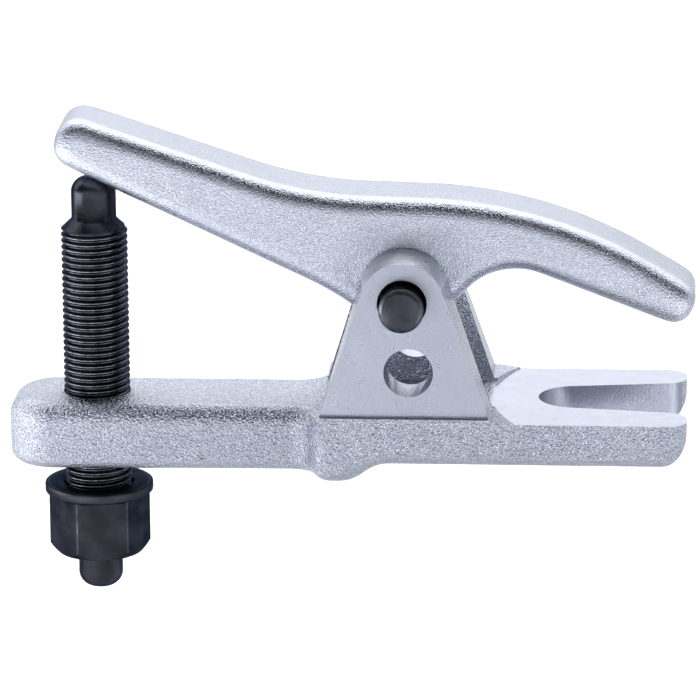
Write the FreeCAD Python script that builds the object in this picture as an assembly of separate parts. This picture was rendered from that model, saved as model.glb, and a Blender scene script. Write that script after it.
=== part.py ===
"""Ball joint separator: a forged fork body, a rocking lever on a clevis pin, and a forcing screw.

Frame, in millimetres: the origin is on the axis of the lower pivot bore, midway between the ears.
+X points to the fork's tips, +Y runs along the pivot bores, +Z points up along the forcing screw.
"""
import FreeCAD, Part
import math
import os

V = FreeCAD.Vector

# --- clevis: lever, channel, ears and pin, from the mid-plane outwards --------------------------------
CHANNEL_WIDTH = 21.2
LEVER_SIDE_GAP = 0.6        # to each ear
EAR_THICKNESS = 9.6         # inner face to machined outer face
EAR_LEDGE = 1.3             # forged flank of the fork outside each ear's outer face
PIN_STANDOUT = 4.8          # pin beyond each ear

# --- pivot pin, its bores and its ring ----------------------------------------------------------------
PIN_DIAMETER = 9.5
PIN_PLAY = 1.0              # bore over pin, in diameter
PIN_CHAMFER = 0.8
PIN_SEAT_GAP = 0.1          # gap left under the pin, which hangs low in its bores
PIVOT_PITCH = 15.0          # lower bore to upper bore, upwards
PIVOT_STAGGER = 1.3         # upper bore behind the lower bore
RING_WIRE = 1.2
RING_BITE = 0.6             # depth of the ring's groove in the pin
RING_GAP = 0.02             # around the wire in its grooves
RING_MOUTH = 40.0           # degrees left open in the ring

# --- fork body, the forging that carries everything ---------------------------------------------------
SCREW_BACKSET = 68.2        # lower pivot bore to the screw's axis
FORK_REACH = 58.7           # lower pivot bore to the fork's tips
FORK_THICKNESS = 9.6
PIVOT_HEIGHT = 10.7         # lower pivot bore above the machined fork face
ARM_WIDTH = 26.0
ARM_THICKNESS = 14.5
ARM_END = 18.5              # the arm's end behind the screw's axis
ARM_END_CORNER = 10.0       # plan radius of the arm's end
ARM_EDGE_RADIUS = 4.0
FORGED_RISE = 0.3           # forged top surface above the machined fork face
HEEL_FLARE = 3.5            # length over which the arm widens to the fork, behind the ears
HEEL_HOLLOW_RADIUS = 5.0    # plan radius where the widening leaves the arm
HEEL_SHOULDER_RADIUS = 4.5  # plan radius where it meets the fork's flank
HEEL_FRONT = 12.4           # where the thick heel starts to rise, behind the lower bore
HEEL_RISE_LENGTH = 5.8
HEEL_RADIUS = 8.0
HEEL_LIFT = 0.6             # underside of the heel above the arm's rear underside
FORK_EDGE_RADIUS = 2.8      # lower edges of the fork
TIP_UNDER_RADIUS = 7.0      # side-view rounding under the tips
TIP_PLAN_RADIUS = 4.6       # plan rounding of each prong's two corners
SPOT_FACE_RADIUS = 42.0     # cutter radius of the machined face
SPOT_FACE_BACK = 16.4       # the face's rear edge, ahead of the lower bore
SLOT_END_RADIUS = 8.2
SLOT_DEPTH = 31.8           # fork tips to the slot's round end
SLOT_TAPER = 8.0            # degrees each side opens towards the tips

# --- ears ---------------------------------------------------------------------------------------------
EAR_BACK = 19.2             # foot of the ear behind the lower bore
EAR_FRONT = 17.3            # foot of the ear ahead of the lower bore
EAR_WALL = 3.55             # ear metal over the upper bore, on the outer face
EAR_DRAFT = 0.8             # how much larger the ear's outline is at its inner face
EAR_FOOT_RISE = 0.9         # ledge under the outer face, above the machined fork face
FOOT_LENGTH = 0.5           # that ledge ahead of the ear's foot
FOOT_RUNOUT = 5.5           # and the slope that ends it

# --- lever --------------------------------------------------------------------------------------------
LEVER_EDGE_RADIUS = 4.0
BOSS_WALL = 4.45            # lever metal under the pin
WAIST_HEIGHT = 20.2         # top of the lever above the pin, at the pin
WAIST_ANGLE = 1.5           # slopes are degrees below the horizontal, towards the fork's tips
REAR_OVERHANG = 7.2         # lever beyond the screw's axis
REAR_TOP_RISE = 13.7        # the rear top face extended to the pin, above the pin
REAR_TOP_ANGLE = 18.5
REAR_UNDER_DROP = 7.0       # square distance of the rear under face below the pin's axis
REAR_UNDER_ANGLE = 25.3
BOSS_REAR_ANGLE = 34.0
NOSE_OVERHANG = 1.5         # lever's nose beyond the fork's tips
TAIL_DROP = 1.9             # centre of the nose below the pin
TAIL_HALF = 4.8             # half the thickness of the nose
TAIL_TOP_ANGLE = 31.0
TAIL_UNDER_ANGLE = 21.2
BOSS_FRONT_ANGLE = 45.0
WAIST_REAR_BEND = 88.0      # bend radii of the lever's long curves
WAIST_FRONT_BEND = 100.0
ARCH_RADIUS = 14.0
BOSS_REAR_BEND = 60.0
END_ROUNDING = 0.46         # corner radius of each end, as a share of the end's thickness
FILLET_LIMIT = 0.9          # largest edge rounding, as a share of the outline's tightest corner

# --- forcing screw and drive nut ----------------------------------------------------------------------
THREAD_DIAMETER = 14.29
THREAD_PITCH = 25.4 / 18
THREAD_DEPTH = 0.875
CREST_FLAT = 0.2            # along the axis
ROOT_FLAT = 0.17
THREAD_CLEARANCE = 0.08     # radial, in the arm's hole
NOSE_DIAMETER = 9.6
NOSE_CORNER = 3.3
NOSE_LENGTH = 9.1
SHOULDER_LENGTH = 2.2       # cone from the nose to the thread
NOSE_GAP = 0.3              # screw nose to the lever's under face
NUT_GAP = 5.8               # arm's under face to the nut's flange
NUT_WALL = 2.355            # thread crest to a hexagon flat
NUT_HEIGHT = 15.6
NUT_CORNER = 0.4            # rounding of the hexagon's upright edges
NUT_FLANGE_REACH = 2.2      # flange beyond the flats
NUT_FLANGE_EDGE = 2.0
NUT_FLANGE_SLOPE = 0.7
NUT_EDGE_BREAK = 0.3        # chamfer of the flange's upper edge
NUT_END_INSET = 0.3         # flat end face inside the flats, which starts the lower chamfer
NUT_TURN = 9.3              # degrees the hexagon is turned from square
NUT_CLEARANCE = 0.05        # radial, on the screw
NUT_BELOW_SHOULDER = 0.9    # nut's lower face beyond the screw's lower shoulder

# --- sizes and places that follow from them -----------------------------------------------------------
LEVER_WIDTH = CHANNEL_WIDTH - 2 * LEVER_SIDE_GAP
EAR_SPAN = CHANNEL_WIDTH + 2 * EAR_THICKNESS
FORK_WIDTH = EAR_SPAN + 2 * EAR_LEDGE
PIN_LENGTH = EAR_SPAN + 2 * PIN_STANDOUT
PIN_RADIUS = PIN_DIAMETER / 2
PIVOT_BORE_RADIUS = (PIN_DIAMETER + PIN_PLAY) / 2
EAR_TOP_RADIUS = PIVOT_BORE_RADIUS + EAR_WALL
BOSS_RADIUS = PIN_RADIUS + BOSS_WALL
HEEL_BACK = EAR_BACK + HEEL_FLARE
ARM_REAR = -SCREW_BACKSET - ARM_END
FACE_Z = -PIVOT_HEIGHT
FORGED_Z = FACE_Z + FORGED_RISE
FOOT_Z = FACE_Z + EAR_FOOT_RISE
ARM_UNDER_Z = FORGED_Z - ARM_THICKNESS
FORK_UNDER_Z = FACE_Z - FORK_THICKNESS
UPPER_BORE_X = -PIVOT_STAGGER
UPPER_BORE_Z = PIVOT_PITCH
PIN_X = UPPER_BORE_X
PIN_Z = UPPER_BORE_Z - (PIVOT_BORE_RADIUS - PIN_RADIUS - PIN_SEAT_GAP)
TAIL_REACH = FORK_REACH + NOSE_OVERHANG - PIN_X
THREAD_RADIUS = THREAD_DIAMETER / 2
NOSE_RADIUS = NOSE_DIAMETER / 2
NUT_TOP_Z = ARM_UNDER_Z - NUT_GAP
NUT_BOTTOM_Z = NUT_TOP_Z - NUT_HEIGHT

# --- working values -----------------------------------------------------------------------------------
OVERCUT = 5.0               # how far blanks and cutters run past the metal they shape
SHARED = 1.0                # depth that fused pieces share
CLOSE = 0.01                # two heights count as one within this


def slope(degrees):
    """Unit direction in the XZ plane that falls by so many degrees towards +X."""
    angle = math.radians(degrees)
    return V(math.cos(angle), 0, -math.sin(angle))


def square_to(direction):
    """The direction turned a quarter turn, upwards."""
    return V(-direction.z, 0, direction.x)


def meet(line_a, line_b):
    """Where two lines of the XZ plane cross; a line is a point and a direction."""
    point_a, along_a = line_a
    point_b, along_b = line_b
    offset = point_b - point_a
    cross = along_a.x * along_b.z - along_a.z * along_b.x
    step = (offset.x * along_b.z - offset.z * along_b.x) / cross
    return point_a + along_a * step


def rounded_wire(corners):
    """Closed wire through (point, radius) corners, with a tangent arc at each rounded one."""
    starts, ends, arcs = [], [], []
    for index, (point, radius) in enumerate(corners):
        before = corners[index - 1][0] - point
        after = corners[(index + 1) % len(corners)][0] - point
        before.normalize()
        after.normalize()
        if radius == 0:
            starts.append(point)
            ends.append(point)
            arcs.append(None)
            continue
        half = before.getAngle(after) / 2
        inward = before + after
        inward.normalize()
        starts.append(point + before * (radius / math.tan(half)))
        ends.append(point + after * (radius / math.tan(half)))
        middle = point + inward * (radius / math.sin(half) - radius)
        arcs.append(Part.Arc(starts[-1], middle, ends[-1]).toShape())
    edges = []
    for index, arc in enumerate(arcs):
        if arc is not None:
            edges.append(arc)
        run_end = starts[(index + 1) % len(corners)]
        if (run_end - ends[index]).Length > 1e-6:
            edges.append(Part.LineSegment(ends[index], run_end).toShape())
    return Part.Wire(edges)


def prism(corners, along):
    """Solid swept from a rounded outline."""
    return Part.Face(rounded_wire(corners)).extrude(along)


def side_prism(corners, low_y, high_y):
    """Solid swept along Y from XZ corners given as (x, z, radius)."""
    placed = [(V(x, low_y, z), radius) for x, z, radius in corners]
    return prism(placed, V(0, high_y - low_y, 0))


def plan_prism(corners, low_z, high_z):
    """Solid swept along Z from XY corners given as (x, y, radius)."""
    placed = [(V(x, y, low_z), radius) for x, y, radius in corners]
    return prism(placed, V(0, 0, high_z - low_z))


def mirrored(half):
    """Half a plan outline, given from rear to front at +Y, closed by its mirror image."""
    return half + [(x, -y, radius) for x, y, radius in reversed(half)]


def cross_bore(x, z, radius, length):
    """Cylinder along Y, centred on the mid-plane."""
    return Part.makeCylinder(radius, length, V(x, -length / 2, z), V(0, 1, 0))


def upright(radius, x, low_z, high_z):
    """Cylinder along Z."""
    return Part.makeCylinder(radius, high_z - low_z, V(x, 0, low_z), V(0, 0, 1))


def spun(outline, x):
    """Solid of revolution about a vertical axis at x, from a polyline of (radius, z)."""
    points = [V(x + radius, 0, z) for radius, z in outline]
    face = Part.Face(Part.makePolygon(points + points[:1]))
    return face.revolve(V(x, 0, 0), V(0, 0, 1), 360)


def edges_where(shape, test):
    return [edge for edge in shape.Edges if test(edge.BoundBox)]


# --- fork body --------------------------------------------------------------------------------------
def forged_blank():
    """Arm, heel and fork as one forging, rounded along its upper and lower edges."""
    arm_half = ARM_WIDTH / 2
    fork_half = FORK_WIDTH / 2
    plan = mirrored([
        (ARM_REAR, arm_half, ARM_END_CORNER),
        (-HEEL_BACK, arm_half, HEEL_HOLLOW_RADIUS),
        (-EAR_BACK, fork_half, HEEL_SHOULDER_RADIUS),
        (FORK_REACH, fork_half, TIP_PLAN_RADIUS),
    ])
    side = [
        (ARM_REAR - OVERCUT, FORGED_Z, 0),
        (FORK_REACH + OVERCUT, FORGED_Z, 0),
        (FORK_REACH + OVERCUT, FORK_UNDER_Z, 0),
        (-HEEL_FRONT + HEEL_RISE_LENGTH, FORK_UNDER_Z, HEEL_RADIUS),
        (-HEEL_FRONT, ARM_UNDER_Z + HEEL_LIFT, HEEL_RADIUS),
        (ARM_REAR - OVERCUT, ARM_UNDER_Z, 0),
    ]
    blank = plan_prism(plan, ARM_UNDER_Z - OVERCUT, FORGED_Z + OVERCUT)
    blank = blank.common(side_prism(side, -FORK_WIDTH, FORK_WIDTH))

    def lower(box):
        return box.ZMax < FORK_UNDER_Z + CLOSE

    def arm_top(box):
        on_top = box.ZMin > FORGED_Z - CLOSE
        return on_top and box.XMax < -HEEL_BACK + CLOSE

    blank = blank.makeFillet(FORK_EDGE_RADIUS, edges_where(blank, lower))
    return blank.makeFillet(ARM_EDGE_RADIUS, edges_where(blank, arm_top))


def fork_rim():
    """Upper half of the fork, which has square upper edges from the ears' feet to the tips."""
    half = FORK_WIDTH / 2
    outline = mirrored([(-EAR_BACK, half, 0), (FORK_REACH, half, TIP_PLAN_RADIUS)])
    return plan_prism(outline, FACE_Z - FORK_THICKNESS / 2, FORGED_Z)


def ear_outline(growth):
    """Corners of an ear's side view; growth enlarges it all round above its foot."""
    radius = EAR_TOP_RADIUS + growth
    centre = V(UPPER_BORE_X, 0, UPPER_BORE_Z)
    feet = [V(-EAR_BACK, 0, FACE_Z), V(EAR_FRONT, 0, FACE_Z)]
    sides = []
    for foot, hand in zip(feet, (1, -1)):
        reach = centre - foot
        lean = math.atan2(reach.x, reach.z) - hand * math.asin(radius / reach.Length)
        sides.append((foot, V(math.sin(lean), 0, math.cos(lean))))
    crown = (centre + V(0, 0, radius), V(1, 0, 0))
    rear_top = meet(sides[0], crown)
    front_top = meet(sides[1], crown)
    return [
        (-EAR_BACK, FACE_Z - SHARED, 0),
        (-EAR_BACK, FACE_Z, 0),
        (rear_top.x, rear_top.z, radius),
        (front_top.x, front_top.z, radius),
        (EAR_FRONT, FACE_Z, 0),
        (EAR_FRONT, FACE_Z - SHARED, 0),
    ]


def ear(hand):
    """One ear, drafted from its inner face to its machined outer face."""
    wires = []
    for half_span, growth in ((CHANNEL_WIDTH / 2, EAR_DRAFT), (EAR_SPAN / 2, 0)):
        corners = [(V(x, hand * half_span, z), radius) for x, z, radius in ear_outline(growth)]
        wires.append(rounded_wire(corners))
    return Part.makeLoft(wires, True, True)


def ear_foot(hand):
    """Ledge that the machined ear face leaves along the forging's side."""
    runout_end = EAR_FRONT + FOOT_LENGTH + FOOT_RUNOUT
    outline = [
        (-EAR_BACK, FACE_Z - SHARED, 0),
        (-EAR_BACK, FOOT_Z, 0),
        (EAR_FRONT + FOOT_LENGTH, FOOT_Z, 0),
        (runout_end, FACE_Z, 0),
        (runout_end, FACE_Z - SHARED, 0),
    ]
    low, high = sorted((hand * CHANNEL_WIDTH / 2, hand * FORK_WIDTH / 2))
    return side_prism(outline, low, high)


def fork_slot():
    """Tapered cutter with a round end, flared at the tips to round the prongs' inner corners."""
    end_x = FORK_REACH - SLOT_DEPTH
    end_half = SLOT_END_RADIUS / math.tan(math.radians(45 + SLOT_TAPER / 2))
    mouth_half = end_half + SLOT_DEPTH * math.tan(math.radians(SLOT_TAPER))
    half = [
        (end_x, end_half, SLOT_END_RADIUS),
        (FORK_REACH, mouth_half, TIP_PLAN_RADIUS),
        (FORK_REACH, FORK_WIDTH, 0),
        (FORK_REACH + OVERCUT, FORK_WIDTH, 0),
    ]
    return plan_prism(mirrored(half), FORK_UNDER_Z - OVERCUT, FORGED_Z + OVERCUT)


def tip_trim():
    """What the rounding under the fork's tips takes away."""
    start, far = FORK_REACH - TIP_UNDER_RADIUS, FORK_REACH + OVERCUT
    low, centre_z = FORK_UNDER_Z - OVERCUT, FORK_UNDER_Z + TIP_UNDER_RADIUS
    block = [(start, low, 0), (far, low, 0), (far, centre_z, 0), (start, centre_z, 0)]
    trim = side_prism(block, -FORK_WIDTH, FORK_WIDTH)
    return trim.cut(cross_bore(start, centre_z, TIP_UNDER_RADIUS, 3 * FORK_WIDTH))


def fork_body():
    body = forged_blank().fuse(fork_rim())
    for hand in (-1, 1):
        body = body.fuse(ear_foot(hand))
        body = body.fuse(ear(hand))
    spot_x = SPOT_FACE_BACK + SPOT_FACE_RADIUS
    body = body.cut(upright(SPOT_FACE_RADIUS, spot_x, FACE_Z, FACE_Z + OVERCUT))
    body = body.cut(fork_slot())
    body = body.cut(tip_trim())
    body = body.cut(cross_bore(0, 0, PIVOT_BORE_RADIUS, 2 * FORK_WIDTH))
    body = body.cut(cross_bore(UPPER_BORE_X, UPPER_BORE_Z, PIVOT_BORE_RADIUS, 2 * FORK_WIDTH))
    hole_radius = THREAD_RADIUS + THREAD_CLEARANCE
    hole = upright(hole_radius, -SCREW_BACKSET, ARM_UNDER_Z - OVERCUT, FORGED_Z + OVERCUT)
    return body.cut(hole).removeSplitter()


# --- lever ------------------------------------------------------------------------------------------
def rear_under_line():
    along = slope(REAR_UNDER_ANGLE)
    return V(PIN_X, 0, PIN_Z) - square_to(along) * REAR_UNDER_DROP, along


def lever_outline():
    """Side view of the lever: straight faces about the pin, each joined to the next by an arc."""
    pin = V(PIN_X, 0, PIN_Z)
    rear_tip_x = -SCREW_BACKSET - REAR_OVERHANG
    rear_top = (pin + V(0, 0, REAR_TOP_RISE), slope(REAR_TOP_ANGLE))
    rear_under = rear_under_line()
    across_rear = (V(rear_tip_x, 0, 0), V(0, 0, 1))
    upper = meet(rear_top, across_rear)
    lower = meet(rear_under, across_rear)
    rear_mean = (REAR_TOP_ANGLE + REAR_UNDER_ANGLE) / 2
    rear_end = ((upper + lower) / 2, square_to(slope(rear_mean)))

    nose = pin + V(TAIL_REACH - TAIL_HALF, 0, -TAIL_DROP)
    tail_mean = (TAIL_TOP_ANGLE + TAIL_UNDER_ANGLE) / 2
    tail_top = (nose + square_to(slope(TAIL_TOP_ANGLE)) * TAIL_HALF, slope(TAIL_TOP_ANGLE))
    tail_under = (nose - square_to(slope(TAIL_UNDER_ANGLE)) * TAIL_HALF, slope(TAIL_UNDER_ANGLE))
    tail_end = (nose + slope(tail_mean) * TAIL_HALF, square_to(slope(tail_mean)))

    waist = (pin + V(0, 0, WAIST_HEIGHT), slope(WAIST_ANGLE))
    boss_front = (pin - square_to(slope(-BOSS_FRONT_ANGLE)) * BOSS_RADIUS, slope(-BOSS_FRONT_ANGLE))
    boss_under = (pin - V(0, 0, BOSS_RADIUS), V(1, 0, 0))
    boss_rear = (pin - square_to(slope(BOSS_REAR_ANGLE)) * BOSS_RADIUS, slope(BOSS_REAR_ANGLE))

    rear_corners = meet(rear_top, rear_end), meet(rear_end, rear_under)
    rear_radius = END_ROUNDING * (rear_corners[0] - rear_corners[1]).Length
    tail_corners = meet(tail_top, tail_end), meet(tail_end, tail_under)
    tail_radius = END_ROUNDING * (tail_corners[0] - tail_corners[1]).Length
    return [
        (rear_corners[0], rear_radius),
        (meet(rear_top, waist), WAIST_REAR_BEND),
        (meet(waist, tail_top), WAIST_FRONT_BEND),
        (tail_corners[0], tail_radius),
        (tail_corners[1], tail_radius),
        (meet(tail_under, boss_front), ARCH_RADIUS),
        (meet(boss_front, boss_under), BOSS_RADIUS),
        (meet(boss_under, boss_rear), BOSS_RADIUS),
        (meet(boss_rear, rear_under), BOSS_REAR_BEND),
        (rear_corners[1], rear_radius),
    ]


def lever():
    half = LEVER_WIDTH / 2
    outline = lever_outline()
    smallest = min(radius for point, radius in outline)
    body = side_prism([(point.x, point.z, radius) for point, radius in outline], -half, half)

    def on_side(box):
        return box.YLength < CLOSE

    edge_radius = min(LEVER_EDGE_RADIUS, FILLET_LIMIT * smallest)
    body = body.makeFillet(edge_radius, edges_where(body, on_side))
    body = body.cut(cross_bore(PIN_X, PIN_Z, PIN_RADIUS, 2 * LEVER_WIDTH))
    return body.cut(ring_torus(RING_WIRE / 2))


# --- pivot pin and ring -----------------------------------------------------------------------------
def ring_torus(wire_radius):
    """The ring's full torus, centred on the pin at mid-length."""
    pitch_radius = PIN_RADIUS - RING_BITE + RING_WIRE / 2
    return Part.makeTorus(pitch_radius, wire_radius, V(PIN_X, 0, PIN_Z), V(0, 1, 0))


def pivot_pin():
    pin = cross_bore(PIN_X, PIN_Z, PIN_RADIUS, PIN_LENGTH)
    ends = edges_where(pin, lambda box: box.YLength < CLOSE)
    return pin.makeChamfer(PIN_CHAMFER, ends).cut(ring_torus(RING_WIRE / 2))


def pin_snap_ring():
    """Round-wire ring, open below, seated in the grooves of the pin and of the lever's bore."""
    reach = 2 * PIN_DIAMETER
    half_mouth = math.radians(RING_MOUTH / 2)
    side = reach * math.tan(half_mouth)
    mouth = side_prism([(PIN_X, PIN_Z, 0), (PIN_X - side, PIN_Z - reach, 0),
                        (PIN_X + side, PIN_Z - reach, 0)], -RING_WIRE, RING_WIRE)
    return ring_torus(RING_WIRE / 2 - RING_GAP).cut(mouth)


# --- forcing screw and drive nut --------------------------------------------------------------------
def nose_top_z():
    """Height of the screw's upper end, which bears on the lever's rear under face."""
    point, along = rear_under_line()
    corner_x = -SCREW_BACKSET + NOSE_RADIUS - NOSE_CORNER
    face_above = meet((point, along), (V(corner_x, 0, 0), V(0, 0, 1)))
    clear = (NOSE_CORNER + NOSE_GAP) / math.cos(math.radians(REAR_UNDER_ANGLE))
    return face_above.z - clear + NOSE_CORNER


def forcing_screw():
    """Threaded rod with the same rounded nose at both ends."""
    top = nose_top_z()
    bottom = NUT_BOTTOM_Z + NUT_BELOW_SHOULDER - NOSE_LENGTH
    root = THREAD_RADIUS - THREAD_DEPTH
    nose_rod = upright(NOSE_RADIUS, -SCREW_BACKSET, bottom, top)
    rims = edges_where(nose_rod, lambda box: box.ZLength < CLOSE)
    nose_rod = nose_rod.makeFillet(NOSE_CORNER, rims)
    first, last = bottom + NOSE_LENGTH, top - NOSE_LENGTH
    thread = [(0, first), (NOSE_RADIUS, first), (THREAD_RADIUS, first + SHOULDER_LENGTH)]
    turns = int((last - first - 2 * SHOULDER_LENGTH) / THREAD_PITCH)
    start = (first + last - turns * THREAD_PITCH) / 2
    for turn in range(turns):
        groove_z = start + (turn + 0.5) * THREAD_PITCH
        thread.append((THREAD_RADIUS, groove_z - (THREAD_PITCH - CREST_FLAT) / 2))
        thread.append((root, groove_z - ROOT_FLAT / 2))
        thread.append((root, groove_z + ROOT_FLAT / 2))
        thread.append((THREAD_RADIUS, groove_z + (THREAD_PITCH - CREST_FLAT) / 2))
    thread += [(THREAD_RADIUS, last - SHOULDER_LENGTH), (NOSE_RADIUS, last), (0, last)]
    return nose_rod.fuse(spun(thread, -SCREW_BACKSET)).removeSplitter()


def drive_nut():
    """Hexagon with a round flange on top and a chamfer below."""
    flat_radius = THREAD_RADIUS + NUT_WALL
    corner_radius = flat_radius / math.cos(math.pi / 6)
    flange_radius = flat_radius + NUT_FLANGE_REACH
    corners = []
    for index in range(6):
        angle = math.radians(NUT_TURN + 60 * index)
        reach = V(math.cos(angle), math.sin(angle), 0) * corner_radius
        corners.append((reach + V(-SCREW_BACKSET, 0, NUT_BOTTOM_Z), NUT_CORNER))
    hexagon = prism(corners, V(0, 0, NUT_HEIGHT - NUT_FLANGE_EDGE / 2))

    end_radius = flat_radius - NUT_END_INSET
    bevel_z = NUT_BOTTOM_Z + corner_radius - end_radius
    bevel = spun([
        (0, NUT_BOTTOM_Z),
        (end_radius, NUT_BOTTOM_Z),
        (corner_radius, bevel_z),
        (corner_radius, NUT_TOP_Z),
        (0, NUT_TOP_Z),
    ], -SCREW_BACKSET)

    under_z = NUT_TOP_Z - NUT_FLANGE_EDGE
    flange = spun([
        (0, NUT_TOP_Z),
        (flange_radius - NUT_EDGE_BREAK, NUT_TOP_Z),
        (flange_radius, NUT_TOP_Z - NUT_EDGE_BREAK),
        (flange_radius, under_z),
        (corner_radius - NUT_CORNER, under_z - NUT_FLANGE_SLOPE),
        (0, under_z - NUT_FLANGE_SLOPE),
    ], -SCREW_BACKSET)

    bore_radius = THREAD_RADIUS + NUT_CLEARANCE
    bore = upright(bore_radius, -SCREW_BACKSET, NUT_BOTTOM_Z - OVERCUT, NUT_TOP_Z + OVERCUT)
    return hexagon.common(bevel).fuse(flange).cut(bore).removeSplitter()


NODES = {
    "fork_body": fork_body,
    "lever": lever,
    "pivot_pin": pivot_pin,
    "pin_snap_ring": pin_snap_ring,
    "forcing_screw": forcing_screw,
    "drive_nut": drive_nut,
}

os.makedirs("parts", exist_ok=True)
for node, build in NODES.items():
    shape = build()
    print(node, "solids", len(shape.Solids), "valid", shape.isValid(), "mm3", round(shape.Volume, 1))
    shape.exportStep("parts/" + node + ".step")
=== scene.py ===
import bmesh
import bpy
import math
import numpy as np
from mathutils import Matrix, Vector, noise
from mathutils.bvhtree import BVHTree


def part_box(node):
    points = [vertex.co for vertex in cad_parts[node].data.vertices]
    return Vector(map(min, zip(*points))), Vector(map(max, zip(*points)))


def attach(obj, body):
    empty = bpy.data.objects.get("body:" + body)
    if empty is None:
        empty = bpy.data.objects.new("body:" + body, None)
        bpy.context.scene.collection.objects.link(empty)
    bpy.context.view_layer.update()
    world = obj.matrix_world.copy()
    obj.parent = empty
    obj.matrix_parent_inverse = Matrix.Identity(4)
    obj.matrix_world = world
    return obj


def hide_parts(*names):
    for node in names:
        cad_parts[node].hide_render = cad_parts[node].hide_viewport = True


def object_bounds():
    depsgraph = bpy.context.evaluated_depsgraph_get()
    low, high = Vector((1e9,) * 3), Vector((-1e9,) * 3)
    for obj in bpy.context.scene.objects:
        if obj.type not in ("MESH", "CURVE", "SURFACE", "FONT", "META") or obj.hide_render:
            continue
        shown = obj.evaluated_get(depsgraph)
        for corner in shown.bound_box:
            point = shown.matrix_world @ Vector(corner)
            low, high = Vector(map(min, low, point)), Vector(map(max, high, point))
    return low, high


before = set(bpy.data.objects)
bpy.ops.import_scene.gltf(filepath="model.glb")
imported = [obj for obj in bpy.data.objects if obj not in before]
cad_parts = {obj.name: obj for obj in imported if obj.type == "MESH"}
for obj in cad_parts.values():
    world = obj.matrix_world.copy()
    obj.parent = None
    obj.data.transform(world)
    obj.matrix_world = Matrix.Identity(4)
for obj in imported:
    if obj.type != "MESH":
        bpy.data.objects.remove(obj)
cad_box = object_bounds()

# --- places read from the frame, in metres --------------------------------------------------------------
MM = 0.001
PIN_LOW, PIN_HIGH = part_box("pivot_pin")
PIN_X = (PIN_LOW.x + PIN_HIGH.x) / 2
PIN_Z = (PIN_LOW.z + PIN_HIGH.z) / 2
PIN_RADIUS = (PIN_HIGH.x - PIN_LOW.x) / 2
SCREW_LOW, SCREW_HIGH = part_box("forcing_screw")
SCREW_X = (SCREW_LOW.x + SCREW_HIGH.x) / 2
THREAD_RADIUS = SCREW_HIGH.y
NUT_LOW, NUT_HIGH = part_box("drive_nut")
NUT_REACH = (NUT_HIGH.x - NUT_LOW.x) / 2
FLOOR_Z = cad_box[0][2] - 31 * MM   # clear of the screw's nose when it is wound right down

# --- the fork body: places that tell its finishes apart, and its edges ------------------------------------
EAR_FACE = 20.2 * MM            # machined outer face of each ear, from the mid-plane
CHANNEL_HALF = 10.6 * MM        # inner face of each ear, from the mid-plane
CROWN_Z = PIN_Z + 2.5 * MM      # above this the rim of an ear is its crown
FACE_Z = -10.7 * MM             # machined top of the fork
FACE_FROM = 10 * MM             # where that top begins, in X
SLOT_FROM = 26 * MM             # where the slot's walls begin, in X
SLOT_HALF = 12.5 * MM           # the slot's walls are nearer to the mid-plane than this
BORE_RADIUS = 5.25 * MM
UPPER_BORE = (-1.3 * MM, 15.0 * MM)
BORES = ((0.0, 0.0), UPPER_BORE)
NEAR = 0.05 * MM                # how far the middle of a face may be from the plane it lies in
SQUARE = 0.99                   # normals of faces square to an axis have at least this much along it
ALONG = 0.1                     # and those of faces that run along the axis at most this much
FORGED, GROUND, MILLED, BORED, SLOTTED, EDGE_WEAR_AND_CROWN_HIGHLIGHT = range(6)
FLAT_ANGLE = math.radians(0.6)
BEVEL_ANGLE = math.radians(28)
SHARP_ANGLE = math.radians(40)
BEVEL_WIDTH = 0.22 * MM

# --- the lever's forged surface ---------------------------------------------------------------------------
LEVER_VOXEL = 0.4 * MM
LEVER_WAVE = 0.03 * MM          # how uneven the surface is
WAVE_BROAD = 5 * MM
WAVE_FINE = 2.2 * MM
END_ROUNDS = 45                 # how often the two ends are softened
REAR_FROM, REAR_OVER = -60 * MM, 18 * MM   # behind this X the softening grows over that length
TAIL_FROM, TAIL_OVER = 28 * MM, 25 * MM

# --- the screw, the nut and the pin -----------------------------------------------------------------------
THREAD_PITCH = 25.4 * MM / 18   # 18 turns to the inch
THREAD_DEPTH = 0.80 * MM
CREST_HALF = 0.08               # half the crest's flat, as a share of the pitch
ROOT_START = 0.39               # where the root begins, as a share of the pitch
# where each turn's outline has its points, as shares of the pitch
THREAD_SHARES = (0.0, 0.05, 0.10, 0.2, 0.3, 0.4, 0.46, 0.54, 0.6, 0.7, 0.8, 0.9, 0.95)
NOSE_RADIUS = 4.8 * MM
NOSE_CORNER = 3.3 * MM          # radius of the rounding round the nose's level end
NOSE_LENGTH = 9.1 * MM
CONE_LENGTH = 2.2 * MM
CONE_SLOPE = (THREAD_RADIUS - NOSE_RADIUS) / CONE_LENGTH
SCREW_STEPS = 96
NOSE_STEPS = 10
FLANGE_REACH = 2.2 * MM         # how far the nut's flange stands out past the flats
FLANGE_HEIGHT = 2.0 * MM
NECK_HEIGHT = 0.7 * MM          # the slope between the hexagon and the flange
NUT_FLAT = NUT_REACH - FLANGE_REACH
NUT_CORNER = NUT_FLAT / math.cos(math.pi / 6)
NUT_END = NUT_FLAT - 0.3 * MM   # radius of the level lower end
NUT_BORE = THREAD_RADIUS + 0.05 * MM
NECK_RADIUS = NUT_CORNER - 0.4 * MM
CORNER_CUT = 0.07 * MM          # what is taken off the hexagon's corners
NUT_TURN = 9.3                  # degrees, as it stands in the photograph
# degrees from the middle of a flat, closer together where the corners are
FACET_ANGLES = (-30, -29, -28, -27, -26, -24, -20, -14, -7, 0, 7, 14, 20, 24, 26, 27, 28, 29)
PIN_CHAMFER = 0.8 * MM
PIN_STEPS = 96
GROOVE_RADIUS = 0.6 * MM        # the snap ring's groove, half round
GROOVE_STEPS = 8


# --- colours ------------------------------------------------------------------------------------------------
def rgb(red, green, blue):
    return (red, green, blue, 1.0)


def scaled(color, level):
    return rgb(*(part * level for part in color[:3]))


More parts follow.
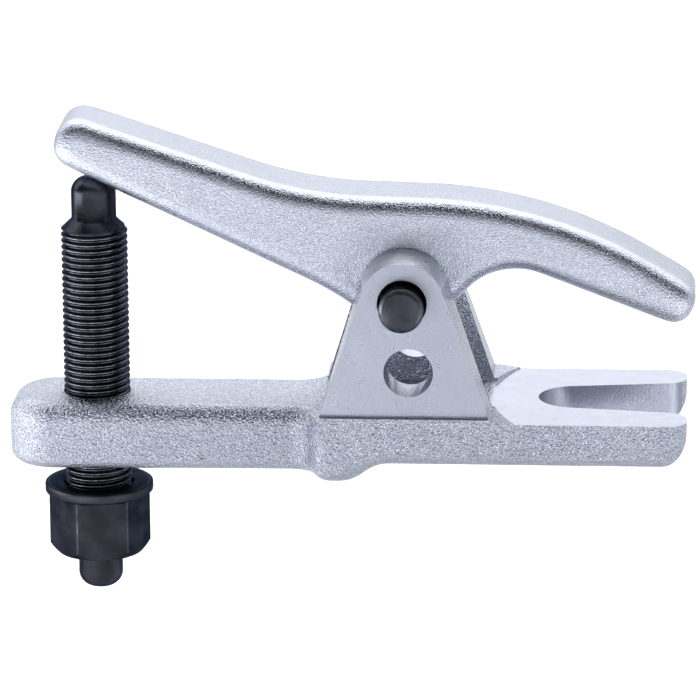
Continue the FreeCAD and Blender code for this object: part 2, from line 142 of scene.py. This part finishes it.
PLATE = rgb(0.46, 0.49, 0.57)
PLATE_DARK = rgb(0.27, 0.29, 0.36)
# Bright bare metal: wear along the edges, and painted highlights on the ear crowns and in the grain's
# sparkle.
PLATE_WORN_AND_HIGHLIGHT = rgb(0.74, 0.77, 0.82)
OXIDE = rgb(0.032, 0.034, 0.041)
OXIDE_GREY = rgb(0.048, 0.052, 0.064)
# Grey bare metal: wear, and on the thread's crest also a painted highlight.
OXIDE_WORN_AND_HIGHLIGHT = rgb(0.17, 0.18, 0.20)
OXIDE_GRAZING = rgb(0.36, 0.37, 0.40)
STAGE_WHITE = rgb(0.82, 0.82, 0.83)
SKY_TINT = rgb(0.97, 0.98, 1.0)
SKY_PEAK = 1.95
# degrees from the horizon behind the camera, over the top, to the rear horizon, and the level there
SKY = ((0, 0.48), (18, 0.40), (32, 0.05), (94, 0.04), (102, 1.0), (135, 1.0), (165, 0.92), (180, 0.8))


# --- node trees ---------------------------------------------------------------------------------------------
class Nodes:
    """A node tree, with one call per node."""

    def __init__(self, tree):
        self.tree = tree

    def put(self, socket, value):
        if isinstance(value, bpy.types.NodeSocket):
            self.tree.links.new(value, socket)
        else:
            socket.default_value = value

    def fill(self, node, **inputs):
        for key, value in inputs.items():
            self.put(node.inputs[key.replace("_", " ")], value)

    def add(self, kind, **inputs):
        node = self.tree.nodes.new(kind)
        self.fill(node, **inputs)
        return node

    def math(self, operation, a, b=0.0):
        node = self.tree.nodes.new("ShaderNodeMath")
        node.operation = operation
        self.put(node.inputs[0], a)
        self.put(node.inputs[1], b)
        return node.outputs[0]

    def span(self, value, from_low, from_high, to_low, to_high):
        """value mapped from one range to another, clamped."""
        node = self.add("ShaderNodeMapRange", Value=value, From_Min=from_low, From_Max=from_high,
                        To_Min=to_low, To_Max=to_high)
        return node.outputs["Result"]


class Surface(Nodes):
    """A new material's nodes; point is the place on the object, in metres."""

    def __init__(self, name):
        self.material = bpy.data.materials.new(name)
        self.material.use_nodes = True
        super().__init__(self.material.node_tree)
        self.shader = self.tree.nodes["Principled BSDF"]
        self.point = self.add("ShaderNodeTexCoord").outputs["Object"]

    def shade(self, **inputs):
        self.fill(self.shader, **inputs)

    def noise(self, size, detail, roughness=0.5):
        """Noise between 0 and 1 whose features are about size metres across."""
        node = self.add("ShaderNodeTexNoise", Vector=self.point, Scale=1 / size, Detail=detail,
                        Roughness=roughness)
        return node.outputs["Fac"]

    def blend(self, factor, color_a, color_b):
        node = self.tree.nodes.new("ShaderNodeMix")
        node.data_type = "RGBA"
        self.put(node.inputs["Factor"], factor)
        self.put(node.inputs["A"], color_a)
        self.put(node.inputs["B"], color_b)
        return node.outputs["Result"]

    def bump(self, height, distance):
        return self.add("ShaderNodeBump", Height=height, Distance=distance).outputs["Normal"]

    def reach(self, axis):
        """Distance from an axis, given as the two directions across it with their coordinates."""
        place = self.add("ShaderNodeSeparateXYZ", Vector=self.point)
        squares = []
        for direction, centre in axis:
            across = self.math("SUBTRACT", place.outputs[direction], centre)
            squares.append(self.math("MULTIPLY", across, across))
        return self.math("SQRT", self.math("ADD", *squares))


# --- materials ----------------------------------------------------------------------------------------------
def plated(name, grain_size, grain_depth, roughness, mottle, shade=0.0, wear_and_highlight=0.0, metallic=1.0):
    """Satin chrome over a grainy surface: spots and painted glints by mottle, darkness by shade, bright wear
    and painted highlight.
    """
    n = Surface(name)
    broad = n.noise(14 * MM, 3.0)
    worms = n.noise(grain_size, 2.0, 0.55)
    pits = n.noise(grain_size * 0.45, 1.0)
    grain = n.math("ADD", worms, n.math("MULTIPLY", pits, 0.5))
    # Patches of bright metal: wear on the edges, and on the ear crowns a painted highlight.
    rub_and_highlight = n.span(n.noise(grain_size * 3, 3.0), 0.3, 0.65, wear_and_highlight, wear_and_highlight * 0.5)
    tint = n.blend(n.span(broad, 0.35, 0.65, shade, shade + 0.10), PLATE, PLATE_DARK)
    tint = n.blend(rub_and_highlight, tint, PLATE_WORN_AND_HIGHLIGHT)
    tint = n.blend(n.span(grain, 0.56, 0.76, mottle, 0.0), tint, PLATE_DARK)
    # Sparkle: bright specks painted into the colour, painted glints on the grain.
    sparkle = n.span(pits, 0.58, 0.68, 0.0, mottle)
    rough = n.span(n.noise(3 * MM, 4.0), 0.3, 0.7, roughness - 0.04, roughness + 0.04)
    n.shade(Base_Color=n.blend(sparkle, tint, PLATE_WORN_AND_HIGHLIGHT), Metallic=metallic, Roughness=rough,
            Normal=n.bump(grain, grain_depth))
    return n.material


def oxide(name, axis, ring_radius, ring_half, roughness, level=1.0):
    """Black oxide, slightly oiled, grey in a ring round an axis: wear, on the thread's crest also painted
    highlight.
    """
    n = Surface(name)
    broad = n.noise(5 * MM, 4.0)
    tint = n.blend(n.span(broad, 0.4, 0.65, 0.0, 1.0), scaled(OXIDE, level), scaled(OXIDE_GREY, level))
    from_ring = n.math("ABSOLUTE", n.math("SUBTRACT", n.reach(axis), ring_radius))
    ring = n.span(from_ring, ring_half * 0.4, ring_half, 1.0, 0.0)
    patchy = n.span(n.noise(1.1 * MM, 3.0), 0.35, 0.62, 0.25, 1.0)
    n.shade(Base_Color=n.blend(n.math("MULTIPLY", ring, patchy), tint, OXIDE_WORN_AND_HIGHLIGHT), Metallic=1.0,
            Specular_Tint=OXIDE_GRAZING, Normal=n.bump(n.noise(0.3 * MM, 3.0), 0.02 * MM),
            Roughness=n.span(broad, 0.3, 0.7, roughness - 0.06, roughness + 0.08))
    return n.material


def fork_finishes():
    """One finish for each of the fork's regions, in the order of FORGED to EDGE_WEAR_AND_CROWN_HIGHLIGHT."""
    return (
        plated("satin_plate_coarse", 0.60 * MM, 0.42 * MM, roughness=0.17, mottle=0.6, shade=0.38),
        plated("satin_plate_ground", 0.36 * MM, 0.06 * MM, roughness=0.30, mottle=0.26, shade=0.45),
        plated("satin_plate_milled", 0.6 * MM, 0.01 * MM, roughness=0.24, mottle=0.08, shade=0.5),
        plated("satin_plate_bored", 0.6 * MM, 0.02 * MM, roughness=0.20, mottle=0.2, shade=0.3),
        # The slot's walls are tinted much darker than the rest: painted shade inside the narrow slot.
        plated("satin_plate_slot_painted_shade", 0.5 * MM, 0.05 * MM, roughness=0.34, mottle=0.2, shade=0.9,
               metallic=0.8),
        # Bevelled edges rubbed to bright metal by wear; on the ear crowns the same brightness is a painted
        # highlight.
        plated("satin_plate_edge_wear_and_crown_highlight", 0.45 * MM, 0.14 * MM, roughness=0.30, mottle=0.25, wear_and_highlight=1.0),
    )


def lever_finish():
    return plated("satin_plate_fine", 0.40 * MM, 0.16 * MM, roughness=0.17, mottle=0.40, shade=0.16)


def pin_finish():
    """Worn at the rim of each end face."""
    axis = (("X", PIN_X), ("Z", PIN_Z))
    return oxide("black_oxide", axis, PIN_RADIUS - 0.45 * MM, 0.4 * MM, roughness=0.30, level=1.35)


def thread_finish():
    """Grey along the crest: wear, and also a painted highlight for the crest's glints."""
    axis = (("X", SCREW_X), ("Y", 0.0))
    return oxide("black_oxide_thread", axis, THREAD_RADIUS, 0.06 * MM, roughness=0.22, level=1.15)


def nut_finish():
    """Worn along the hexagon's corners."""
    axis = (("X", SCREW_X), ("Y", 0.0))
    return oxide("black_oxide_nut", axis, NUT_CORNER, 0.12 * MM, roughness=0.36)


# --- camera, stage and lights -------------------------------------------------------------------------------
def camera():
    """A long lens from the photograph's viewing angle."""
    azimuth, elevation, roll = (math.radians(angle) for angle in (3.796, 16.045, -0.389))
    distance = 1.1029
    target = Vector((-13.54, -0.45, -0.72)) * MM
    back = Vector((math.sin(azimuth) * math.cos(elevation),
                   -math.cos(azimuth) * math.cos(elevation), math.sin(elevation)))
    right = Vector((math.cos(azimuth), math.sin(azimuth), 0))
    up = back.cross(right)
    turned_right = right * math.cos(roll) + up * math.sin(roll)
    turned_up = up * math.cos(roll) - right * math.sin(roll)
    data = bpy.data.cameras.new("camera")
    data.sensor_width = 36
    data.lens = 264.6
    data.clip_start = 0.01
    data.clip_end = 20
    obj = bpy.data.objects.new("camera", data)
    obj.matrix_world = Matrix((turned_right, turned_up, back)).transposed().to_4x4()
    obj.location = target + back * distance
    bpy.context.scene.collection.objects.link(obj)
    bpy.context.scene.camera = obj


def dish_mesh():
    """A level floor that curves up into a low rim, as a surface turned about Z."""
    sides, bend_steps, bend_angle = 72, 12, 30
    floor_reach, bend_radius = 1.6, 1.6
    rim = (2.9, 0.50)
    profile = [(0.0, 0.0), (0.3, 0.0), (0.8, 0.0), (floor_reach, 0.0)]
    for step in range(1, bend_steps + 1):
        angle = math.radians(bend_angle * step / bend_steps)
        rise = bend_radius - bend_radius * math.cos(angle)
        profile.append((floor_reach + bend_radius * math.sin(angle), rise))
    profile.append(rim)
    angles = [math.radians(360 * step / sides) for step in range(sides)]
    work = bmesh.new()
    rings = []
    for radius, height in profile:
        ring = [(radius * math.cos(a), radius * math.sin(a), FLOOR_Z + height) for a in angles]
        rings.append([work.verts.new(place) for place in ring])
    for inner, outer in zip(rings[:-1], rings[1:]):
        for step in range(sides):
            after = (step + 1) % sides
            work.faces.new((inner[step], outer[step], outer[after], inner[after]))
    bmesh.ops.remove_doubles(work, verts=work.verts, dist=1e-6)
    mesh = bpy.data.meshes.new("sweep")
    work.to_mesh(mesh)
    work.free()
    mesh.shade_smooth()
    return mesh


def stage_white():
    """Matt white that also glows: much where the camera sees it, a little where it is mirrored."""
    seen_glow, mirrored_glow = 0.45, 0.06
    n = Surface("sweep_white")
    path = n.add("ShaderNodeLightPath").outputs
    mirrored = n.math("MAXIMUM", path["Is Glossy Ray"], path["Is Transmission Ray"])
    glow = n.math("MAXIMUM", n.math("MULTIPLY", path["Is Camera Ray"], seen_glow),
                  n.math("MULTIPLY", mirrored, mirrored_glow))
    n.shade(Base_Color=STAGE_WHITE, Roughness=0.9, Emission_Color=rgb(1, 1, 1), Emission_Strength=glow)
    return n.material


def stage():
    sweep = bpy.data.objects.new("sweep", dish_mesh())
    bpy.context.scene.collection.objects.link(sweep)
    sweep.data.materials.append(stage_white())


def studio_world():
    """Soft surroundings: a dim front wall, a dark ceiling over the camera and a bright rear half."""
    world = bpy.data.worlds.new("studio")
    bpy.context.scene.world = world
    world.use_nodes = True
    n = Nodes(world.node_tree)
    direction = n.add("ShaderNodeSeparateXYZ", Vector=n.add("ShaderNodeTexCoord").outputs["Generated"])
    toward_camera = n.math("MULTIPLY", direction.outputs["Y"], -1)
    over = n.math("ARCTAN2", direction.outputs["Z"], toward_camera)
    ramp = n.add("ShaderNodeValToRGB", Fac=n.math("DIVIDE", over, math.pi))
    stops = ramp.color_ramp.elements
    stops.remove(stops[1])
    stops[0].color = scaled(SKY_TINT, SKY[0][1])
    for degrees, level in SKY[1:]:
        stops.new(degrees / 180).color = scaled(SKY_TINT, level)
    n.fill(n.tree.nodes["Background"], Color=ramp.outputs["Color"], Strength=SKY_PEAK)


def facing(place, target):
    """The rotation that turns a lamp at place towards target."""
    return (Vector(target) - Vector(place)).to_track_quat("-Z", "Y").to_euler()


def softbox(name, place, rotation, size, strength):
    """A rectangular lamp that the camera doesn't see."""
    data = bpy.data.lights.new(name, "AREA")
    data.shape = "RECTANGLE"
    data.size, data.size_y = size
    data.energy = strength
    obj = bpy.data.objects.new(name, data)
    obj.visible_camera = False
    bpy.context.scene.collection.objects.link(obj)
    obj.location = place
    obj.rotation_euler = rotation


def lights():
    """A large lamp overhead, a card at the left end and two narrow cards on the floor in front."""
    place = (-0.02, 0.36, 0.85)
    softbox("overhead", place, facing(place, (0, 0.03, 0)), size=(1.3, 0.55), strength=4.0)
    place = (-0.21, -0.03, -0.01)
    softbox("left_card", place, facing(place, (-0.08, -0.01, -0.02)), size=(0.13, 0.085), strength=0.14)
    for name, side in (("left_floor_card", -1), ("right_floor_card", 1)):
        place = (side * 0.16, -0.19, FLOOR_Z + 2 * MM)
        turned_up = (math.pi, 0, side * math.radians(-42))
        softbox(name, place, turned_up, size=(0.09, 0.26), strength=0.42)


# --- mesh tools ---------------------------------------------------------------------------------------------
def welded(node):
    """The CAD node's surface as one closed bmesh."""
    work = bmesh.new()
    work.from_mesh(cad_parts[node].data)
    bmesh.ops.remove_doubles(work, verts=work.verts, dist=2e-6)
    return work


def evaluated(mesh, kind, **settings):
    """The mesh with one modifier applied."""
    holder = bpy.data.objects.new("holder", mesh)
    bpy.context.scene.collection.objects.link(holder)
    modifier = holder.modifiers.new(kind, kind)
    for key, value in settings.items():
        setattr(modifier, key, value)
    graph = bpy.context.evaluated_depsgraph_get()
    result = bpy.data.meshes.new_from_object(holder.evaluated_get(graph))
    bpy.data.objects.remove(holder)
    return result


def read(items, attribute, width, kind=np.float32):
    """An attribute of all items, as an array with one row for each."""
    flat = np.empty(len(items) * width, kind)
    items.foreach_get(attribute, flat)
    return flat.reshape(-1, width)


def set_points(mesh, points):
    mesh.vertices.foreach_set("co", points.astype(np.float32).ravel())
    mesh.update()


def relaxed(points, pairs, rounds, share):
    """Points drawn towards the mean of their neighbours; share is a number or one per point."""
    count = np.bincount(pairs.ravel(), minlength=len(points))[:, None]
    for _ in range(rounds):
        total = np.zeros_like(points)
        for axis in range(3):
            total[:, axis] = (np.bincount(pairs[:, 0], points[pairs[:, 1], axis], len(points))
                              + np.bincount(pairs[:, 1], points[pairs[:, 0], axis], len(points)))
        points = points + (total / count - points) * share
    return points


def grid_mesh(name, columns):
    """A surface round an axis from columns of points, with the first column repeated at the end."""
    columns = np.array(columns)
    count, rows = columns.shape[:2]
    index = np.arange(count * rows).reshape(count, rows).tolist()
    faces = []
    for a, b in zip(index[:-1], index[1:]):
        for row in range(rows - 1):
            faces.append((a[row], b[row], b[row + 1], a[row + 1]))
    mesh = bpy.data.meshes.new(name)
    mesh.from_pydata(columns.reshape(-1, 3).tolist(), [], faces)
    work = bmesh.new()
    work.from_mesh(mesh)
    bmesh.ops.remove_doubles(work, verts=work.verts, dist=2e-7)
    bmesh.ops.dissolve_degenerate(work, edges=work.edges, dist=2e-7)
    bmesh.ops.recalc_face_normals(work, faces=work.faces)
    work.to_mesh(mesh)
    work.free()
    mesh.shade_smooth()
    return mesh


def round_screw_axis(outline, angle):
    """A (radius, height) outline as points in the half-plane at that angle round the screw's axis."""
    return [(SCREW_X + radius * math.cos(angle), radius * math.sin(angle), height)
            for radius, height in outline]


def eased(corner, *offsets):
    """Outline points that soften a corner, each given by its offset from the corner in millimetres."""
    return [(corner[0] + across * MM, corner[1] + along * MM) for across, along in offsets]


# --- the lever and the fork ---------------------------------------------------------------------------------
def end_softening(points):
    """How strongly each point is softened: nothing in the middle, growing towards the lever's two ends."""
    past_rear = np.clip((REAR_FROM - points[:, 0]) / REAR_OVER, 0, 1)
    past_tail = np.clip((points[:, 0] - TAIL_FROM) / TAIL_OVER, 0, 1)
    return 0.5 * np.maximum(past_rear, past_tail)[:, None]


def waviness(point):
    return noise.noise(Vector(point) / WAVE_BROAD) + 0.5 * noise.noise(Vector(point) / WAVE_FINE)


def lever_mesh():
    """The lever as an even fine mesh, drawn onto the CAD surface and then slightly uneven, as forged."""
    work = welded("lever")
    tree = BVHTree.FromBMesh(work)
    source = bpy.data.meshes.new("lever_source")
    work.to_mesh(source)
    work.free()
    mesh = evaluated(source, "REMESH", mode="VOXEL", voxel_size=LEVER_VOXEL)
    points = read(mesh.vertices, "co", 3).astype(float)
    pairs = read(mesh.edges, "vertices", 2, np.int32)
    for rounds in (0, 2):
        points = relaxed(points, pairs, rounds, 0.5)
        points = np.array([tree.find_nearest(point)[0] for point in points])
    points = relaxed(points, pairs, 3, 0.5)
    points = relaxed(points, pairs, END_ROUNDS, end_softening(points))
    set_points(mesh, points)
    heights = np.array([waviness(point) for point in points])[:, None]
    inward = heights * LEVER_WAVE - LEVER_WAVE
    set_points(mesh, points + read(mesh.vertex_normals, "vector", 3) * inward)
    mesh.shade_smooth()
    return mesh


def distance_from(bore, place):
    return math.hypot(place.x - bore[0], place.z - bore[1])


def region_of(face):
    """Which of the regions FORGED to EDGE_WEAR_AND_CROWN_HIGHLIGHT a face of the fork body belongs to."""
    centre, normal = face.calc_center_median(), face.normal
    from_middle = abs(centre.y)
    runs_across = abs(normal.y) < ALONG
    in_ear = CHANNEL_HALF < from_middle < EAR_FACE
    if from_middle > EAR_FACE - NEAR and abs(normal.y) > SQUARE and centre.z > FACE_Z + 0.5 * MM:
        return GROUND
    # The ear crowns share the edges' bright finish: on the crowns it is a painted highlight.
    if in_ear and runs_across and centre.z > CROWN_Z and distance_from(UPPER_BORE, centre) > BORE_RADIUS + MM:
        return EDGE_WEAR_AND_CROWN_HIGHLIGHT
    if abs(centre.z - FACE_Z) < NEAR and normal.z > SQUARE and centre.x > FACE_FROM:
        return MILLED
    for bore in BORES:
        if distance_from(bore, centre) < BORE_RADIUS + NEAR and runs_across and from_middle < EAR_FACE + MM:
            return BORED
    if centre.x > SLOT_FROM and abs(normal.z) < ALONG and centre.y * normal.y < 0 and from_middle < SLOT_HALF:
        return SLOTTED
    return FORGED


def fork_mesh():
    """The fork body with its machined outlines broken by a small bevel, and a finish on each region."""
    work = welded("fork_body")
    bmesh.ops.dissolve_limit(work, angle_limit=FLAT_ANGLE, verts=work.verts, edges=work.edges)
    for face in work.faces:
        face.material_index = region_of(face)
    sharp = bpy.data.meshes.new("fork_sharp")
    work.to_mesh(sharp)
    work.free()
    for finish in fork_finishes():
        sharp.materials.append(finish)
    mesh = evaluated(sharp, "BEVEL", width=BEVEL_WIDTH, segments=2, limit_method="ANGLE",
                     angle_limit=BEVEL_ANGLE, material=EDGE_WEAR_AND_CROWN_HIGHLIGHT)
    mesh.shade_smooth()
    mesh.set_sharp_from_angle(angle=SHARP_ANGLE)
    return evaluated(mesh, "WEIGHTED_NORMAL", keep_sharp=True)


# --- the screw, the nut and the pin -------------------------------------------------------------------------
def nose_round(height, start, end):
    """The rounded corner of a nose, between two angles in degrees about a centre at that height."""
    points = []
    for step in range(NOSE_STEPS + 1):
        angle = math.radians(start + (end - start) * step / NOSE_STEPS)
        reach = NOSE_RADIUS - NOSE_CORNER + NOSE_CORNER * math.cos(angle)
        points.append((reach, height + NOSE_CORNER * math.sin(angle)))
    return points


def thread_radius(turns):
    """Radius of the thread at a number of pitches from a crest."""
    reach = min(turns % 1.0, 1 - turns % 1.0)
    fall = min(max((reach - CREST_HALF) / (ROOT_START - CREST_HALF), 0), 1)
    return THREAD_RADIUS - THREAD_DEPTH * (fall * fall * (3 - 2 * fall) * 0.5 + fall * 0.5)


def screw_mesh():
    """Threaded rod: one helical ridge between two cones, with a rounded nose at each end."""
    first, last = SCREW_LOW.z + NOSE_LENGTH, SCREW_HIGH.z - NOSE_LENGTH
    turns = math.ceil((last - first) / THREAD_PITCH) + 1
    low_nose = [(0, SCREW_LOW.z)] + nose_round(SCREW_LOW.z + NOSE_CORNER, -90, 0)
    high_nose = nose_round(SCREW_HIGH.z - NOSE_CORNER, 0, 90) + [(0, SCREW_HIGH.z)]
    columns = []
    for step in range(SCREW_STEPS + 1):
        part = step / SCREW_STEPS
        ridge = []
        for turn in range(-1, turns):
            for share in THREAD_SHARES:
                z = min(max(first + (turn + share + part) * THREAD_PITCH, first), last)
                cone = NOSE_RADIUS + min(z - first, last - z) * CONE_SLOPE
                ridge.append((min(thread_radius((z - first) / THREAD_PITCH - part), cone), z))
        columns.append(round_screw_axis(low_nose + ridge + high_nose, 2 * math.pi * part))
    return grid_mesh("forcing_screw_thread", columns)


def nut_outline(angle):
    """The nut's closed outline at an angle in degrees from the middle of a flat."""
    low, high = NUT_LOW.z, NUT_HIGH.z
    under = high - FLANGE_HEIGHT
    neck = under - NECK_HEIGHT
    side = min(NUT_FLAT / math.cos(math.radians(angle)), NUT_CORNER - CORNER_CUT)
    seat = neck + max(side - NECK_RADIUS, 0) * (under - neck) / (NUT_REACH - NECK_RADIUS)
    outline = eased((NUT_BORE, low), (0, 0.6), (0.5, 0.1), (0.6, 0))
    outline += eased((NUT_END, low), (-0.12, 0), (0, 0.04))
    outline += eased((side, low + side - NUT_END), (-0.1, -0.06), (0, 0.12))
    outline += [(side, (low + seat) / 2)]
    outline += eased((side, seat), (0, -0.15), (0.12, 0))
    outline += eased((NUT_REACH, under), (-0.25, -0.1), (-0.06, 0.04), (0, 0.2))
    outline += eased((NUT_REACH, high), (0, -0.4), (-0.08, -0.15), (-0.3, 0))
    outline += eased((NUT_BORE, high), (0.6, 0), (0.45, -0.1), (0, -0.6))
    return outline + outline[:1]


def nut_mesh():
    """Hexagon with a flange above, a cone-cut lower end and a chamfered bore."""
    columns = []
    for flat in range(6):
        for angle in FACET_ANGLES:
            turn = math.radians(angle + 60 * flat + 30 + NUT_TURN)
            columns.append(round_screw_axis(nut_outline(angle), turn))
    columns.append(columns[0])
    return grid_mesh("drive_nut_hexagon", columns)


def pin_mesh():
    """Plain pin with chamfered, slightly rounded ends and the ring's groove at its middle."""
    end = [(0, PIN_HIGH.y)]
    end += eased((PIN_RADIUS - PIN_CHAMFER, PIN_HIGH.y), (-0.12, 0), (0, -0.03), (0.12, -0.12))
    end += eased((PIN_RADIUS, PIN_HIGH.y - PIN_CHAMFER), (-0.12, 0.12), (-0.03, 0), (0, -0.12))
    groove = []
    for step in range(GROOVE_STEPS + 1):
        angle = math.pi * step / GROOVE_STEPS
        groove.append((PIN_RADIUS - GROOVE_RADIUS * math.sin(angle), GROOVE_RADIUS * math.cos(angle)))
    outline = end + groove + [(radius, -y) for radius, y in reversed(end)]
    columns = []
    for step in range(PIN_STEPS + 1):
        angle = 2 * math.pi * step / PIN_STEPS
        columns.append([(PIN_X + radius * math.cos(angle), y, PIN_Z + radius * math.sin(angle))
                        for radius, y in outline])
    return grid_mesh("pivot_pin_ground", columns)


# --- the shown pieces ---------------------------------------------------------------------------------------
def new_piece(name, mesh, body, node):
    """A shown piece that stands for a CAD node and rides on its body."""
    piece = bpy.data.objects.new(name, mesh)
    bpy.context.scene.collection.objects.link(piece)
    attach(piece, body)
    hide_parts(node)


def lever():
    mesh = lever_mesh()
    mesh.materials.append(lever_finish())
    new_piece("lever_forging", mesh, "lever", "lever")


def fork():
    new_piece("fork_forging", fork_mesh(), "fork", "fork_body")


def screw():
    mesh = screw_mesh()
    mesh.materials.append(thread_finish())
    new_piece("screw_rod", mesh, "screw", "forcing_screw")


def nut():
    mesh = nut_mesh()
    mesh.materials.append(nut_finish())
    new_piece("nut_flanged", mesh, "nut", "drive_nut")


def pin_and_ring():
    """The ground pin, and its snap ring, which is shown as the CAD made it, in the same finish."""
    mesh, finish = pin_mesh(), pin_finish()
    mesh.materials.append(finish)
    new_piece("pin_ground", mesh, "lever", "pivot_pin")
    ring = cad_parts["pin_snap_ring"].data
    ring.materials.clear()
    ring.materials.append(finish)


camera()
stage()
studio_world()
lights()
bpy.context.scene.view_settings.view_transform = "Standard"

lever()
fork()
screw()
nut()
pin_and_ring()
